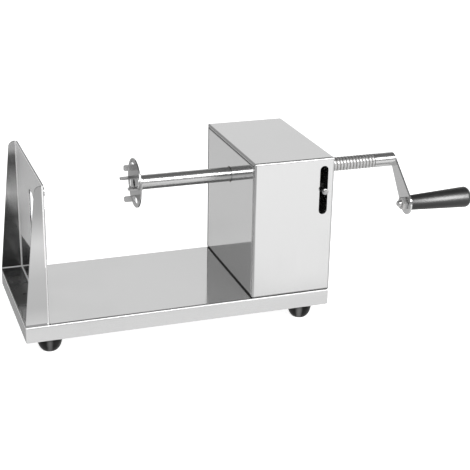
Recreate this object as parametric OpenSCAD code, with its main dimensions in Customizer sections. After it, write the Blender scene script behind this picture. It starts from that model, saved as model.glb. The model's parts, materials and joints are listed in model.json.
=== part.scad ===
// Hand cranked spiral cutter for potatoes, in millimetres, +Z up.
// X runs from the blade stand to the crank and Y from the front to the back.
// The origin is below the middle of the whole machine, on the surface it stands on.
// Inside place(), X starts at the base's left end, Y at its front and Z at its top.

/* [Base tray] */
// Length of the base
base_l = 337; // [310:1:380]
// Depth of the base
base_d = 160; // [140:1:190]
// Height of the folded skirt
base_h = 19; // [15:1:26]
// Sheet thickness of the base
base_t = 1.5; // [1:0.1:2]
// Outer radius of the folded edges
bend_r = 2.5; // [2.2:0.1:4]

/* [Feet] */
// Diameter of a foot at its top
foot_d = 27; // [20:1:30]
// Diameter of the flat a foot stands on
foot_tip_d = 15; // [13:1:18]
// Height of a foot
foot_h = 17; // [14:1:26]
// Distance from the ends of the base to a foot's centre
foot_end = 27.5; // [22:0.5:40]
// Distance from the front or back of the base to a foot's centre
foot_side = 18; // [17:1:28]

/* [Blade stand] */
// Depth of the stand along the base
stand_w = 25.5; // [21:0.5:32]
// Width of the side flanges at their top
stand_top_w = 10; // [6:1:16]
// Height of the stand
stand_h = 151; // [138:1:165]
// Sheet thickness of the stand
stand_t = 2; // [1.5:0.1:3]
// Radius of the flanges' top corner
stand_corner_r = 7; // [3:1:10]
// Width of the opening that the slices leave by
outlet_w = 40; // [34:1:48]
// Height of that opening
outlet_h = 76; // [64:1:90]
// Corner radius of that opening
outlet_r = 8; // [4:1:15]
// How far the opening reaches behind the shaft's axis
outlet_back = 5; // [3:0.5:12]
// How far the opening reaches above the shaft's axis
outlet_top = 5; // [5:0.5:14]

/* [Blade] */
// Thickness of the blade
blade_t = 1.5; // [1:0.1:2.5]
// Thickness of the slice, between the stand and the blade
slice_t = 3; // [2:0.1:4]
// Length of the cutting edge below the shaft's axis
blade_l = 56; // [46:1:66]
// Width of the blade in front of the shaft's axis
blade_w = 54; // [50:1:58]
// Width of the ground bevel
blade_bevel = 4; // [2:0.5:6]
// Bore for the skewer in its guide
guide_d = 6.4; // [5:0.2:7.6]
// Length of the skewer guide's tube
guide_l = 9; // [5:0.5:10]

/* [Drive box] */
// Width of the box along the base
box_w = 91; // [80:1:105]
// Height of the box above the base
box_h = 153; // [145:0.5:170]
// Sheet thickness of the box cover
box_t = 1.5; // [1:0.1:2]
// Width of the rim that is folded round both open ends of the cover
rim_w = 3; // [2.8:0.1:5]
// Sheet thickness of the two end panels
panel_t = 1.5; // [1:0.1:2]
// Depth of the panels' folded edge
panel_fold = 6; // [4:0.5:6]
// Gap between a panel and the cover's rim
panel_gap = 0.4; // [0.2:0.1:0.8]

/* [Shaft] */
// Height of the shaft's axis above the base
shaft_z = 117; // [112:0.5:122]
// Outer diameter of the shaft, its thread and its collar
shaft_d = 16; // [13:0.1:16]
// Bore of the smooth tube
tube_bore = 11; // [9:0.1:11.4]
// Distance from the base's left end to the pronged disc
disc_x = 137; // [132:1:150]
// Distance from the base's left end to the crank arm
arm_x = 446; // [440:1:470]
// Length of the smooth collar beside the crank arm
collar_l = 25; // [22:1:30]
// Pitch of the thread
pitch = 4; // [3:0.5:5]
// Depth of the thread
thread_depth = 0.7; // [0.5:0.1:0.9]
// Share of the pitch that a thread's crest takes
crest_share = 0.55; // [0.4:0.05:0.6]

/* [Pronged disc] */
// Diameter of the disc
disc_d = 54; // [48:1:60]
// Sheet thickness of the disc and its prongs
disc_t = 1.5; // [1.2:0.1:2.5]
// Number of prongs that are cut from the disc and bent forward
prongs = 4; // [3:1:4]
// Length of a prong
prong_l = 13; // [10:1:16]
// Width of a prong
prong_w = 6.5; // [4:0.5:7]
// Distance from the axis to the middle of a prong
prong_r = 17.8; // [15:0.1:19]
// Turn of the first prong about the shaft
prong_turn = 3; // [0:1:45]
// Hole for the skewer in the disc
skewer_hole = 8.4; // [6:0.2:9]

/* [Crank] */
// Distance between the shaft and the grip
crank_l = 57; // [48:0.5:70]
// Angle of the arm, from straight down towards the front
crank_angle = 44; // [0:1:90]
// Thickness of the arm
arm_t = 2; // [1.5:0.5:5]
// Width of the arm's end on the shaft
arm_top_w = 11; // [10:0.5:14]
// Width of the arm's lower end
arm_end_w = 26; // [20:1:30]
// Length of the grip
grip_l = 77; // [65:1:95]
// Diameter of the grip beside the arm
grip_d = 19; // [16:0.5:22]
// Diameter of the grip at its far end
grip_end_d = 26; // [22:0.5:32]
// Diameter of the bolt that the grip turns on
bolt_d = 8; // [6:1:10]

/* [Release lever] */
// Distance from the box's right end to the lever and its slot
lever_end = 12; // [11.5:0.5:12.5]
// Width of the slot in front of the box
slot_w = 9.4; // [8:0.1:10.8]
// Height of that slot
slot_h = 54.5; // [50:0.5:60]
// Distance from the box's back to the lever's pivot
pivot_back = 22; // [18:1:30]
// Height of the lever's pivot below the shaft's axis
pivot_drop = 17.5; // [15:0.5:22]
// Thickness of the lever
lever_t = 3; // [2:0.5:4]
// Length of the half nut along the thread
half_nut_l = 14; // [10:1:14]
// Diameter of the knob in the slot
knob_d = 7; // [6:0.2:7.4]
// How far the knob stands out in front of the box
knob_out = 6.5; // [5:0.5:12]

/* [Return spring] */
// Outer diameter of the spring
spring_d = 9; // [7:0.5:10]
// Wire diameter of the spring
wire_d = 1.2; // [0.8:0.1:1.4]
// Length of the spring at rest
spring_l = 24; // [20:1:28]
// Number of coils
coils = 6; // [4:1:8]

/* [Clearances] */
// Radial clearance where something turns or slides
run_gap = 0.08; // [0.05:0.01:0.1]
// Radial clearance round fasteners and pressed parts
fit_gap = 0.05; // [0.02:0.01:0.1]
// Radial clearance between the thread and the half nut
mesh_gap = 0.35; // [0.25:0.05:0.4]

/* [Hidden] */

steel = [0.80, 0.81, 0.82];
zinc = [0.66, 0.68, 0.70];
black = [0.08, 0.08, 0.09];
nylon = [0.90, 0.89, 0.85];
bronze = [0.72, 0.55, 0.30];

smooth = 64;
facets = 18;
arc_steps = 24;
arc = function (c, r, from, to) [for (i = [0:arc_steps])
    let (a = from + (to - from) * i / arc_steps) c + r * [cos(a), sin(a)]];

// Fasteners, by the thread's nominal diameter
m3 = 3;
m4 = 4;
m5 = 5;
m6 = 6;
head_ratio = 1.75;
head_h_ratio = 0.55;
nut_ratio = 1.65;
nut_h_ratio = 0.8;
hex_corners = 2 / sqrt(3);

shaft_y = base_d / 2;
shaft_r = shaft_d / 2;
box_x = base_l - box_w;
panel_in = box_x + panel_t;
right_in = base_l - panel_t;

// The feet stand on the folded lip under the skirt
lip_w = foot_side + foot_d / 2 + 3;
foot_x = [foot_end, base_l - foot_end];
foot_y = [foot_side, base_d - foot_side];

foot_recess = foot_h * 0.45;

// Box fixings
rail_w = 20;
box_screw_x = [box_x + rail_w * 0.6, base_l - rail_w * 0.6];
box_screw_y = [25, base_d - 25];
box_grip = base_t + box_t + panel_t;

// End panels, inside the cover's rim
panel_y = rim_w + panel_gap;
panel_l = base_d - 2 * panel_y;
panel_h = box_h - rim_w - panel_gap - box_t;
panel_bend = 2;

// Stand fixings, in the flange that lies on the base
stand_screw_y = [base_d / 2 - 50, base_d / 2, base_d / 2 + 50];
stand_screw_x = stand_w / 2;
stand_toe = 0.5;

// Blade
blade_x = stand_w + slice_t;
edge_y = shaft_y - 1;
blade_front = shaft_y - blade_w;
blade_low = shaft_z - blade_l;
blade_fix_y = blade_front + 14;
blade_fix_z = [blade_low + 9, shaft_z - 12];
guide_wall = 1.8;
guide_flange = 1.2;
guide_r = guide_d / 2 + guide_wall;
eye_r = guide_r + 4;

// Shaft, screw and bushes
disc_back = disc_x + disc_t;
thread_end = arm_x - collar_l;
thread_lead = 1;
thread_turns = floor((thread_end - panel_in) / pitch) - 1;
thread_x = thread_end - (thread_turns + 1) * pitch - 2 * thread_lead;
spigot_r = tube_bore / 2;
spigot_l = 16;
root_r = shaft_r - thread_depth;
bush_r = shaft_r + 2.75;
bush_l = 19.4;
end_play = 0.3;
housing_wall = 5;
housing_flange_r = bush_r + 14;
housing_flange_t = 4;
housing_end = 2;
housing_l = bush_l + 2 * end_play + housing_end;
stud_r = housing_flange_r - 4.5;
stud_l = housing_flange_t + m4 * nut_h_ratio + 2;
bush_flange_r = bush_r + 3;
bush_flange_t = 3;
ring_t = 1.3;
bush_tail = ring_t + 1.1;
prong_tip = 2;
prong_relief = 0.4;
hub_l = 5;
hub_wall = 3;

// Crank and grip
arm_end_r = arm_end_w / 2;
tenon_r = 3.5;
grip_y = shaft_y - crank_l * sin(crank_angle);
grip_z = shaft_z - crank_l * cos(crank_angle);
handle_nut_h = bolt_d * nut_h_ratio;
stud_end = bolt_d * 0.62;
washer_t = 1.2;
grip_x = arm_x + arm_t + washer_t + end_play;
grip_round = 5.5;
bolt_head_r = bolt_d * 0.64;
head_out = 2;
head_in = 3;
reach = grip_x + grip_l + head_out;

// Release lever, in the plane of the slot
lever_x = base_l - lever_end;
pivot_y = base_d - pivot_back;
pivot_z = shaft_z - pivot_drop;
pivot_hub_r = 9;
pivot_pin_r = 4;
bar_r = 6;
half_nut_w = 20;
half_nut_top = shaft_z - 4;
saddle_z = shaft_z - shaft_r - 5.25;
half_nut_low = saddle_z - 7;
bar_z = saddle_z - bar_r;
bend_room = 2.5;
washer_l = 1.5;
pin_l = lever_t + 2 * end_play;
pin_x = lever_x - pin_l / 2;
knob_tab_y = 9.5;
tab_t = 3;
tab_w = 7.5;
tab_r = 4.5;
knob_neck_r = knob_d / 2 - 1.1;
knob_head = 3.5;
rivet_r = 1.5;
rivet_y = [shaft_y - 5, shaft_y + 5];
rivet_z = saddle_z - 3.5;

// Return spring, between the shelf and the lever's seat
spring_y = 40;
seat_t = 1.5;
seat_w = spring_d + 1;
seat_z = bar_z - 3;
seat_web = 3 + bar_r + 2;
shelf_t = 2;
shelf_z = seat_z - spring_l - shelf_t;
shelf_leg = 22;
shelf_screw_z = [shelf_z - 5, shelf_z - 15];

// The spring's wire follows one helix, with rings of six corners that are eight to a coil
coil_rings = 8;
wire_sides = 6;
coil_r = (spring_d - wire_d) / 2;
coil_rise = (spring_l - wire_d - 2 * fit_gap) / coils;
coil_low = wire_d / 2 + fit_gap;
coil_point = function (t) [coil_r * cos(360 * t), coil_r * sin(360 * t), coil_low + coil_rise * t];
coil_ring = function (t) [for (k = [0:wire_sides - 1])
    let (a = 360 * k / wire_sides, r = coil_r + wire_d / 2 * cos(a))
        [r * cos(360 * t), r * sin(360 * t), coil_point(t)[2] + wire_d / 2 * sin(a)]];
coil_gap = min([for (i = [0:coil_rings * (coils - 1)], j = [i + coil_rings * 0.75:i + coil_rings * 1.25])
    norm(coil_point(i / coil_rings) - coil_point(j / coil_rings))]) - wire_d;

// Height of a thread's corners above its root, from 0 to 1, and their place along each turn
crest_at = [1, 1, 0];
corner_at = [0, crest_share, (1 + crest_share) / 2];

// The frame of the whole machine
left_x = -reach / 2;
front_y = (knob_out - base_d) / 2;
top_z = foot_h + base_h;

// Placing and plain shapes

module place() {
    translate([left_x, front_y, top_z]) children();
}

// Lays a shape that is drawn in XY with its thickness along Z into YZ, thickness along X
module along_x() {
    rotate([90, 0, 90]) children();
}

module at_shaft(x) {
    translate([x, shaft_y, shaft_z]) along_x() children();
}

module at_grip(x) {
    translate([x, grip_y, grip_z]) along_x() children();
}

module rounded_rect(w, h, r) {
    translate([r, 0]) square([w - 2 * r, h]);
    translate([0, r]) square([w, h - 2 * r]);
    for (x = [r, w - r], y = [r, h - r]) translate([x, y]) circle(r, $fn = smooth);
}

module stadium(w, h) {
    translate([-w / 2, (w - h) / 2]) square([w, h - w]);
    for (y = [w - h, h - w]) translate([0, y / 2]) circle(w / 2, $fn = smooth);
}

// A block with every edge rounded, where three rounded outlines meet
module rounded_block(l, w, h, r) {
    intersection() {
        linear_extrude(h) rounded_rect(l, w, r);
        translate([0, w, 0]) rotate([90, 0, 0]) linear_extrude(w) rounded_rect(l, h, r);
        along_x() linear_extrude(l) rounded_rect(w, h, r);
    }
}

module folded_shell(l, w, h, r, t) {
    difference() {
        rounded_block(l, w, h, r);
        translate([t, t, t]) rounded_block(l - 2 * t, w - 2 * t, h - 2 * t, r - t);
    }
}

module tube(l, r_out, r_in) {
    difference() {
        cylinder(h = l, r = r_out, $fn = smooth);
        translate([0, 0, -1]) cylinder(h = l + 2, r = r_in, $fn = smooth);
    }
}

module hex_nut(d) {
    difference() {
        cylinder(h = d * nut_h_ratio, d = d * nut_ratio * hex_corners, $fn = 6);
        translate([0, 0, -1]) cylinder(h = d * nut_h_ratio + 2, r = d / 2 + fit_gap, $fn = smooth);
    }
}

// A screw with its head below Z = 0 and its shank above
module round_screw(d, l) {
    translate([0, 0, -d * head_h_ratio]) cylinder(h = d * head_h_ratio, d = d * head_ratio, $fn = smooth);
    cylinder(h = l, d = d, $fn = smooth);
}

// The outline round two circles and their common tangents
module link(a, b, ra, rb) {
    heading = atan2(b[1] - a[1], b[0] - a[0]);
    open = acos((ra - rb) / norm(b - a));
    polygon(concat(arc(b, rb, heading - open, heading + open),
        arc(a, ra, heading + open, heading + 360 - open)));
}

// Base and feet

module base_tray() {
    color(steel) place() difference() {
        translate([0, 0, -base_h]) folded_shell(base_l, base_d, base_h, bend_r, base_t);
        translate([lip_w, lip_w, -base_h - 1]) cube([base_l - 2 * lip_w, base_d - 2 * lip_w, base_t + 2]);
        for (x = foot_x, y = foot_y) translate([x, y, -base_h - 1])
            cylinder(h = base_t + 2, r = m5 / 2 + fit_gap, $fn = smooth);
        for (x = box_screw_x, y = box_screw_y) translate([x, y, -base_t - 1])
            cylinder(h = base_t + 2, r = m5 / 2 + fit_gap, $fn = smooth);
        for (y = stand_screw_y) translate([stand_screw_x, y, -base_t - 1])
            cylinder(h = base_t + 2, r = m4 / 2 + fit_gap, $fn = smooth);
    }
}

module rubber_foot() {
    tip_r = foot_tip_d / 2;
    edge = 3;
    rotate_extrude($fn = smooth) difference() {
        union() {
            polygon([[0, 0], [tip_r, 0], [tip_r + edge, edge],
                [foot_d / 2, foot_h - 2], [foot_d / 2, foot_h], [0, foot_h]]);
            translate([tip_r, edge]) circle(edge, $fn = smooth);
        }
        square([m5 / 2 + fit_gap, foot_h]);
        square([m5 * head_ratio / 2 + 0.4, foot_recess]);
    }
}

module rubber_feet() {
    color(black) place() for (x = foot_x, y = foot_y)
        translate([x, y, -base_h - foot_h]) rubber_foot();
}

module foot_screws() {
    color(zinc) place() for (x = foot_x, y = foot_y)
        translate([x, y, -base_h - foot_h + foot_recess])
            round_screw(m5, foot_h - foot_recess + base_t + m5 * nut_h_ratio + 1);
}

module foot_nuts() {
    color(zinc) place() for (x = foot_x, y = foot_y)
        translate([x, y, -base_h + base_t]) hex_nut(m5);
}

// Blade stand

// One side flange as seen from the front
module flange_outline() {
    top_x = stand_w - stand_top_w;
    centre = [top_x + stand_corner_r, stand_h - stand_corner_r];
    lean = atan2(top_x - stand_toe, centre[1]);
    polygon(concat([[stand_toe, 0], [stand_w, 0], [stand_w, stand_h]],
        arc(centre, stand_corner_r, 90, 180 - lean)));
}

module stand_outlet() {
    translate([shaft_y + outlet_back - outlet_w, shaft_z + outlet_top - outlet_h])
        rounded_rect(outlet_w, outlet_h, outlet_r);
}

module blade_stand() {
    spare = 10;
    color(steel) place() difference() {
        intersection() {
            translate([-spare, 0, 0]) union() {
                linear_extrude(stand_h) difference() {
                    rounded_rect(stand_w + spare, base_d, bend_r);
                    translate([-1, stand_t])
                        rounded_rect(stand_w + spare + 1 - stand_t, base_d - 2 * stand_t, bend_r / 2);
                }
                translate([0, stand_t / 2, 0])
                    cube([stand_w + spare - stand_t / 2, base_d - stand_t, stand_t]);
            }
            translate([0, base_d, 0]) rotate([90, 0, 0]) linear_extrude(base_d) flange_outline();
        }
        translate([stand_w - stand_t - 1, 0, 0]) along_x() linear_extrude(stand_t + 2) stand_outlet();
        for (z = blade_fix_z) translate([stand_w - stand_t - 1, blade_fix_y, z]) along_x()
            cylinder(h = stand_t + 2, r = m4 / 2 + fit_gap, $fn = smooth);
        for (y = stand_screw_y) translate([stand_screw_x, y, -1])
            cylinder(h = stand_t + 2, r = m4 / 2 + fit_gap, $fn = smooth);
    }
}

module stand_screws() {
    color(zinc) place() for (y = stand_screw_y)
        translate([stand_screw_x, y, -base_t]) round_screw(m4, base_t + stand_t - 0.1);
}

// Blade and skewer guide

module blade_outline() {
    translate([blade_front, blade_low]) rounded_rect(edge_y - blade_front, shaft_z - blade_low + 2, 3);
    translate([edge_y - 3, blade_low]) square([3, shaft_z - blade_low]);
    translate([shaft_y, shaft_z]) circle(eye_r, $fn = smooth);
}

module blade() {
    color(steel) place() difference() {
        translate([blade_x, 0, 0]) along_x() linear_extrude(blade_t) blade_outline();
        translate([0, 0, blade_low - 1]) linear_extrude(blade_l - eye_r) polygon([
            [blade_x - 1, edge_y - blade_bevel],
            [blade_x, edge_y - blade_bevel],
            [blade_x + blade_t * 0.85, edge_y],
            [blade_x + blade_t * 0.85, edge_y + 1],
            [blade_x - 1, edge_y + 1]]);
        at_shaft(blade_x - 1) cylinder(h = blade_t + 2, r = guide_r + fit_gap, $fn = smooth);
        for (z = blade_fix_z) translate([blade_x - 1, blade_fix_y, z]) along_x()
            cylinder(h = blade_t + 2, r = m4 / 2 + fit_gap, $fn = smooth);
    }
}

module blade_spacers() {
    color(steel) place() for (z = blade_fix_z)
        translate([stand_w, blade_fix_y, z]) along_x() tube(slice_t, m4, m4 / 2 + fit_gap);
}

module blade_screws() {
    grip = blade_t + slice_t + stand_t + m4 * nut_h_ratio + 1;
    color(zinc) place() for (z = blade_fix_z)
        translate([blade_x + blade_t, blade_fix_y, z]) mirror([1, 0, 0]) along_x() round_screw(m4, grip);
}

module blade_nuts() {
    color(zinc) place() for (z = blade_fix_z)
        translate([stand_w - stand_t - m4 * nut_h_ratio, blade_fix_y, z]) along_x() hex_nut(m4);
}

module skewer_guide() {
    color(steel) place() at_shaft(blade_x - guide_flange) {
        tube(guide_flange, guide_r + 1.5, guide_d / 2);
        tube(guide_flange + blade_t + guide_l, guide_r, guide_d / 2);
    }
}

// Drive box

module box_cover() {
    color(steel) place() translate([box_x, 0, 0]) difference() {
        folded_shell(box_w, base_d, box_h, bend_r, box_t);
        translate([-1, rim_w, box_t]) cube([box_w + 2, base_d - 2 * rim_w, box_h - rim_w - box_t]);
        translate([rail_w, rail_w, -1]) cube([box_w - 2 * rail_w, base_d - 2 * rail_w, box_t + 2]);
        translate([lever_x - box_x, box_t + 1, shaft_z]) rotate([90, 0, 0]) linear_extrude(box_t + 2)
            stadium(slot_w, slot_h);
        for (x = box_screw_x, y = box_screw_y) translate([x - box_x, y, -1])
            cylinder(h = box_t + 2, r = m5 / 2 + fit_gap, $fn = smooth);
    }
}

// An end panel with its face at X = 0, folded back along its edges and wider at the bottom
module end_panel() {
    difference() {
        translate([0, panel_y, box_t]) union() {
            intersection() {
                folded_shell(2 * panel_fold, panel_l, panel_h, panel_bend, panel_t);
                cube([panel_fold, panel_l, panel_h]);
            }
            translate([panel_bend, panel_bend, 0])
                cube([rail_w - panel_bend, panel_l - 2 * panel_bend, panel_t]);
        }
        for (y = box_screw_y) translate([rail_w * 0.6, y, box_t - 1])
            cylinder(h = panel_t + 2, r = m5 / 2 + fit_gap, $fn = smooth);
    }
}

// The welded ends of the studs lie half way into the panel
module housing_studs() {
    for (a = [45:90:315]) rotate(a) translate([stud_r, 0, -panel_t / 2])
        cylinder(h = panel_t / 2 + stud_l, d = m4, $fn = smooth);
}

module left_panel() {
    color(steel) place() {
        difference() {
            translate([box_x, 0, 0]) end_panel();
            at_shaft(box_x - 1) cylinder(h = panel_t + 2, r = shaft_r + 0.8, $fn = smooth);
        }
        at_shaft(panel_in) housing_studs();
    }
}

module right_panel() {
    color(steel) place() difference() {
        translate([base_l, 0, 0]) mirror([1, 0, 0]) end_panel();
        at_shaft(right_in - 1) cylinder(h = panel_t + 2, r = bush_r + fit_gap, $fn = smooth);
        translate([right_in - 1, pivot_y, pivot_z]) along_x()
            cylinder(h = panel_t + 2, r = m6 / 2 + fit_gap, $fn = smooth);
        for (z = shelf_screw_z) translate([right_in - 1, spring_y, z]) along_x()
            cylinder(h = panel_t + 2, r = m4 / 2 + fit_gap, $fn = smooth);
    }
}

module box_screws() {
    color(zinc) place() for (x = box_screw_x, y = box_screw_y)
        translate([x, y, -base_t]) round_screw(m5, box_grip + m5 * nut_h_ratio + 1);
}

module box_nuts() {
    color(zinc) place() for (x = box_screw_x, y = box_screw_y)
        translate([x, y, box_t + panel_t]) hex_nut(m5);
}

// Bushes

module bush_housing() {
    color(steel) place() at_shaft(panel_in) difference() {
        union() {
            cylinder(h = housing_flange_t, r = housing_flange_r, $fn = smooth);
            cylinder(h = housing_l, r = bush_r + housing_wall, $fn = smooth);
        }
        translate([0, 0, -1]) cylinder(h = housing_l - housing_end + 1, r = bush_r + run_gap, $fn = smooth);
        cylinder(h = housing_l + 1, r = shaft_r + 0.8, $fn = smooth);
        for (a = [45:90:315]) rotate(a) translate([stud_r, 0, -1])
            cylinder(h = housing_flange_t + 2, r = m4 / 2 + fit_gap, $fn = smooth);
    }
}

module housing_nuts() {
    color(zinc) place() at_shaft(panel_in + housing_flange_t)
        for (a = [45:90:315]) rotate(a) translate([stud_r, 0, 0]) hex_nut(m4);
}

module guide_bush() {
    color(bronze) place() at_shaft(panel_in + end_play) tube(bush_l, bush_r, shaft_r + run_gap);
}

module outer_bush() {
    color(nylon) place() at_shaft(right_in - bush_tail) {
        tube(bush_tail + panel_t + bush_flange_t, bush_r, shaft_r + run_gap);
        translate([0, 0, bush_tail + panel_t]) tube(bush_flange_t, bush_flange_r, bush_r);
    }
}

module bush_ring() {
    color(zinc) place() at_shaft(right_in - ring_t) tube(ring_t, bush_r + 2.5, bush_r + fit_gap);
}

// Shaft and thread

module shaft_tube() {
    color(steel) place() at_shaft(disc_back) tube(thread_x - disc_back, shaft_r, spigot_r);
}

// A right-handed screw thread along Z with plain ends, widened by a gap on every side.
// One column of corners stands at each angle, and every column starts a little later.
module thread(turns, gap) {
    n = facets;
    rows = 3 * turns;
    wide = [-gap / 2, gap / 2, 0];
    column = function (j) [for (i = [0:rows - 1])
        let (k = i % 3, r = root_r + gap + thread_depth * crest_at[k], a = 360 * j / n)
            [r * cos(a), r * sin(a), thread_lead + wide[k] + pitch * (floor(i / 3) + corner_at[k] + j / n)]];
    ring = function (z) [for (j = [0:n - 1])
        [(root_r + gap) * cos(360 * j / n), (root_r + gap) * sin(360 * j / n), z]];
    length = 2 * thread_lead + pitch * (turns + 1);
    points = concat([for (j = [0:n - 1]) each column(j)], ring(0), ring(length));
    at = function (j, i) j * rows + i;
    low = function (j) n * rows + j % n;
    high = function (j) n * rows + n + j % n;
    end = rows - 1;
    sides = [for (j = [0:n - 2], i = [0:end - 1]) each [
        [at(j, i), at(j, i + 1), at(j + 1, i + 1)], [at(j, i), at(j + 1, i + 1), at(j + 1, i)]]];
    seam = [for (i = [0:end - 4]) each [
        [at(n - 1, i), at(n - 1, i + 1), at(0, i + 4)], [at(n - 1, i), at(0, i + 4), at(0, i + 3)]]];
    start_band = [for (j = [0:n - 2]) each [
        [low(j), at(j, 0), at(j + 1, 0)], [low(j), at(j + 1, 0), low(j + 1)]]];
    start_fan = concat([[at(n - 1, 0), low(0), low(n - 1)], [at(n - 1, 0), at(0, 0), low(0)]],
        [for (i = [0:2]) [at(n - 1, 0), at(0, i + 1), at(0, i)]]);
    end_band = [for (j = [0:n - 2]) each [
        [at(j, end), high(j), high(j + 1)], [at(j, end), high(j + 1), at(j + 1, end)]]];
    end_fan = concat([for (i = [end - 3:end - 1]) [at(0, end), at(n - 1, i), at(n - 1, i + 1)]],
        [[at(0, end), at(n - 1, end), high(n - 1)], [at(0, end), high(n - 1), high(0)]]);
    caps = [[for (j = [0:n - 1]) low(j)], [for (j = [n - 1:-1:0]) high(j)]];
    polyhedron(points, concat(sides, seam, start_band, start_fan, end_band, end_fan, caps), convexity = 10);
}

module lead_screw() {
    color(steel) place() {
        at_shaft(thread_x) thread(thread_turns, 0);
        at_shaft(thread_x - spigot_l) cylinder(h = spigot_l, r = spigot_r - fit_gap, $fn = smooth);
        at_shaft(thread_end) cylinder(h = collar_l, r = spigot_r - fit_gap, $fn = smooth);
        at_shaft(thread_end) cylinder(h = collar_l + arm_t, r = tenon_r, $fn = smooth);
    }
}

module crank_collar() {
    color(steel) place() at_shaft(thread_end) tube(collar_l, shaft_r, spigot_r);
}

// Pronged disc

// One prong as seen square to it, with its root in the disc and its round tip below
module prong_outline() {
    low = disc_t + prong_tip - prong_l;
    root = disc_t / 2;
    polygon(concat([[0, root]], arc([prong_tip, low], prong_tip, 180, 270),
        arc([prong_w - prong_tip, low], prong_tip, 270, 360), [[prong_w, root]]));
}

// The window that a prong leaves in the disc, with rounded corners where its tip was
module prong_window() {
    wide = prong_w + 2 * prong_relief;
    corner = prong_tip + prong_relief;
    low = corner - prong_l;
    root = -disc_t / 2;
    polygon(concat([[0, root]], arc([corner, low], corner, 180, 270),
        arc([wide - corner, low], corner, 270, 360), [[wide, root]]));
}

module prong_disc() {
    inner = prong_r - prong_w / 2;
    color(steel) place() at_shaft(disc_x) {
        linear_extrude(disc_t) difference() {
            circle(d = disc_d, $fn = 96);
            circle(d = skewer_hole, $fn = smooth);
            for (k = [0:prongs - 1]) rotate(prong_turn + 360 * k / prongs)
                translate([inner - prong_relief, 0]) prong_window();
        }
        for (k = [0:prongs - 1]) rotate(prong_turn + 360 * k / prongs)
            translate([inner, 0, 0]) rotate([90, 0, 0]) linear_extrude(disc_t) prong_outline();
    }
}

module hub_collar() {
    color(steel) place() at_shaft(disc_back) tube(hub_l, shaft_r + hub_wall, shaft_r + fit_gap);
}

// Crank and grip

module crank_arm() {
    color(steel) place() at_shaft(arm_x) difference() {
        linear_extrude(arm_t) link([0, 0], [grip_y - shaft_y, grip_z - shaft_z], arm_top_w / 2, arm_end_r);
        translate([0, 0, -1]) cylinder(h = arm_t + 2, r = tenon_r + fit_gap, $fn = smooth);
        translate([grip_y - shaft_y, grip_z - shaft_z, -1])
            cylinder(h = arm_t + 2, r = bolt_d / 2 + fit_gap, $fn = smooth);
    }
}

module handle_bolt() {
    shank = grip_x + grip_l - head_in - arm_x + handle_nut_h + stud_end - bolt_d / 2;
    color(zinc) place() at_grip(arm_x - handle_nut_h - stud_end + bolt_d / 2) {
        sphere(d = bolt_d, $fn = smooth);
        cylinder(h = shank, d = bolt_d, $fn = smooth);
        translate([0, 0, shank]) cylinder(h = head_in + head_out, r = bolt_head_r, $fn = smooth);
    }
}

module handle_nut() {
    color(zinc) place() at_grip(arm_x - handle_nut_h) hex_nut(bolt_d);
}

module grip_washer() {
    color(zinc) place() at_grip(arm_x + arm_t) tube(washer_t, grip_d / 2 - 1, bolt_d / 2 + fit_gap);
}

module grip() {
    small_r = grip_d / 2;
    big_r = grip_end_d / 2;
    round_at = grip_l - grip_round;
    color(black) place() at_grip(grip_x) rotate_extrude($fn = smooth) difference() {
        union() {
            polygon([[0, 0], [small_r - 1, 0], [small_r, 1],
                [big_r, round_at], [big_r - grip_round, grip_l], [0, grip_l]]);
            translate([big_r - grip_round, round_at]) circle(grip_round, $fn = smooth);
        }
        translate([0, -1]) square([bolt_d / 2 + run_gap, grip_l + 2]);
        translate([0, grip_l - head_in - end_play]) square([bolt_head_r + run_gap + 0.2, head_in + 1]);
    }
}

// Release lever, half nut and knob

module lever_outline() {
    pivot = [pivot_y, pivot_z];
    back = [shaft_y + half_nut_w / 2, bar_z];
    front = [shaft_y - half_nut_w / 2 - bend_room, bar_z];
    tip = [knob_tab_y + tab_r, shaft_z];
    link(pivot, back, pivot_hub_r, bar_r);
    link(back, front, bar_r, bar_r);
    link(front, tip, bar_r, tab_r);
    translate([knob_tab_y, shaft_z - tab_r]) square([tab_r, 2 * tab_r]);
    translate([spring_y - seat_w / 2, seat_z]) square([seat_w, seat_web]);
}

module release_lever() {
    color(steel) place() difference() {
        union() {
            translate([lever_x - lever_t / 2, 0, 0]) along_x() linear_extrude(lever_t) lever_outline();
            translate([lever_x - tab_w / 2, knob_tab_y, shaft_z - tab_r]) cube([tab_w, tab_t, 2 * tab_r]);
            translate([lever_x - seat_w / 2, spring_y - seat_w / 2, seat_z]) cube([seat_w, seat_w, seat_t]);
        }
        translate([lever_x - lever_t, pivot_y, pivot_z]) along_x()
            cylinder(h = 2 * lever_t, r = pivot_pin_r + run_gap, $fn = smooth);
        for (y = rivet_y) translate([lever_x - lever_t, y, rivet_z]) along_x()
            cylinder(h = 2 * lever_t, r = rivet_r + fit_gap, $fn = smooth);
        translate([lever_x, knob_tab_y - 1, shaft_z]) rotate([-90, 0, 0])
            cylinder(h = tab_t + 2, r = m3 / 2 + fit_gap, $fn = smooth);
        translate([lever_x - lever_t, knob_tab_y + tab_t, shaft_z - m3])
            cube([2 * lever_t, m3 * nut_h_ratio + 2, 2 * m3]);
    }
}

module half_nut() {
    skipped = ceil((lever_x - half_nut_l / 2 - thread_x) / pitch) - 2;
    color(bronze) place() difference() {
        translate([lever_x - half_nut_l / 2, shaft_y - half_nut_w / 2, half_nut_low])
            cube([half_nut_l, half_nut_w, half_nut_top - half_nut_low]);
        at_shaft(thread_x + skipped * pitch) thread(ceil(half_nut_l / pitch) + 3, mesh_gap);
        translate([lever_x - lever_t / 2 - fit_gap, shaft_y - half_nut_w, half_nut_low - 1])
            cube([lever_t + 2 * fit_gap, 2 * half_nut_w, bar_z + bar_r + fit_gap - half_nut_low + 1]);
        for (y = rivet_y) translate([lever_x - half_nut_l, y, rivet_z]) along_x()
            cylinder(h = 2 * half_nut_l, r = rivet_r + fit_gap, $fn = smooth);
    }
}

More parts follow.
